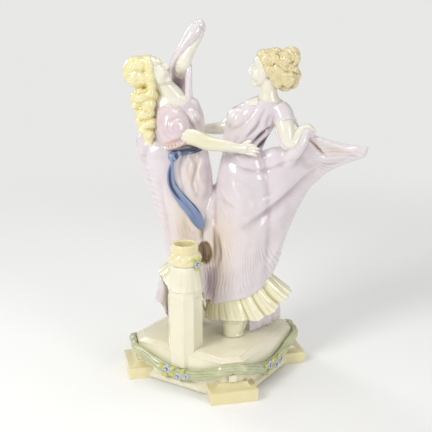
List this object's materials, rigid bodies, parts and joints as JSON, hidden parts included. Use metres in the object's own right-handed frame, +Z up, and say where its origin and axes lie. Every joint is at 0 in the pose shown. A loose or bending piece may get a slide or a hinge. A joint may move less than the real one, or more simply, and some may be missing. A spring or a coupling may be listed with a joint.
{
  "type": "ceramic lamp base",
  "caption": "Glazed ceramic table lamp base: two dancing women on a footed octagonal plinth, with a short pillar whose cup takes the lamp fitting.",
  "frame": {"origin": "middle of the outline's plan box, on the surface the feet stand on", "axes": "+Z up, the pillar stands towards -Y, the long skirt wing reaches towards +X and +Y"},
  "size_m": [0.2686, 0.2118, 0.45],
  "materials": {
    "cream_glaze": "glossy cream glaze, warmer in the hollows",
    "ivory_glaze": "glossy pale yellow glaze",
    "garland_glaze": "soft green glaze, pooled in the grooves",
    "blossom_glaze": "glossy blue glaze",
    "lilac_glaze": "very glossy lilac glaze, darker in the folds",
    "pink_glaze": "very glossy pink glaze",
    "skin_glaze": "glossy pale glaze",
    "pale_hair_glaze": "glossy pale yellow glaze",
    "gold_hair_glaze": "glossy golden glaze",
    "sash_glaze": "glossy grey-blue glaze"
  },
  "bodies": {
    "root": {"plinth_body": "cream_glaze", "plinth_deck": "cream_glaze", "foot_front": "ivory_glaze", "foot_right": "ivory_glaze", "foot_rear": "ivory_glaze", "foot_left": "ivory_glaze", "garland_peg_front": "cream_glaze", "garland_peg_right": "cream_glaze", "garland_peg_rear": "cream_glaze", "garland_peg_left": "cream_glaze", "garland_pillar_side": "garland_glaze", "garland_right_side": "garland_glaze", "garland_rear_side": "garland_glaze", "garland_left_side": "garland_glaze", "blossoms_pillar_side": "blossom_glaze", "blossoms_right_side": "blossom_glaze", "blossoms_rear_side": "blossom_glaze", "blossoms_left_side": "blossom_glaze", "pillar_shaft": "cream_glaze", "pillar_leaf_collar": "cream_glaze", "pillar_wreath": "ivory_glaze", "pillar_cup": "ivory_glaze", "pillar_blossom": "blossom_glaze", "right_skirt": "lilac_glaze", "right_skirt_wing": "lilac_glaze", "right_ruffle": "cream_glaze", "right_train": "lilac_glaze", "right_foot": "cream_glaze", "right_bodice": "lilac_glaze", "right_collar": "cream_glaze", "right_head": "skin_glaze", "right_hair": "gold_hair_glaze", "right_near_arm": "skin_glaze", "right_far_arm": "skin_glaze", "left_skirt": "lilac_glaze", "left_ruffle": "cream_glaze", "left_train": "lilac_glaze", "left_foot": "cream_glaze", "left_torso": "skin_glaze", "left_sleeve": "pink_glaze", "left_forearm": "skin_glaze", "left_raised_arm": "skin_glaze", "left_veil": "lilac_glaze", "left_head": "skin_glaze", "left_hair": "pale_hair_glaze", "sash_belt": "sash_glaze", "sash_knot": "sash_glaze", "sash_tail": "sash_glaze"}
  },
  "joints": []
}
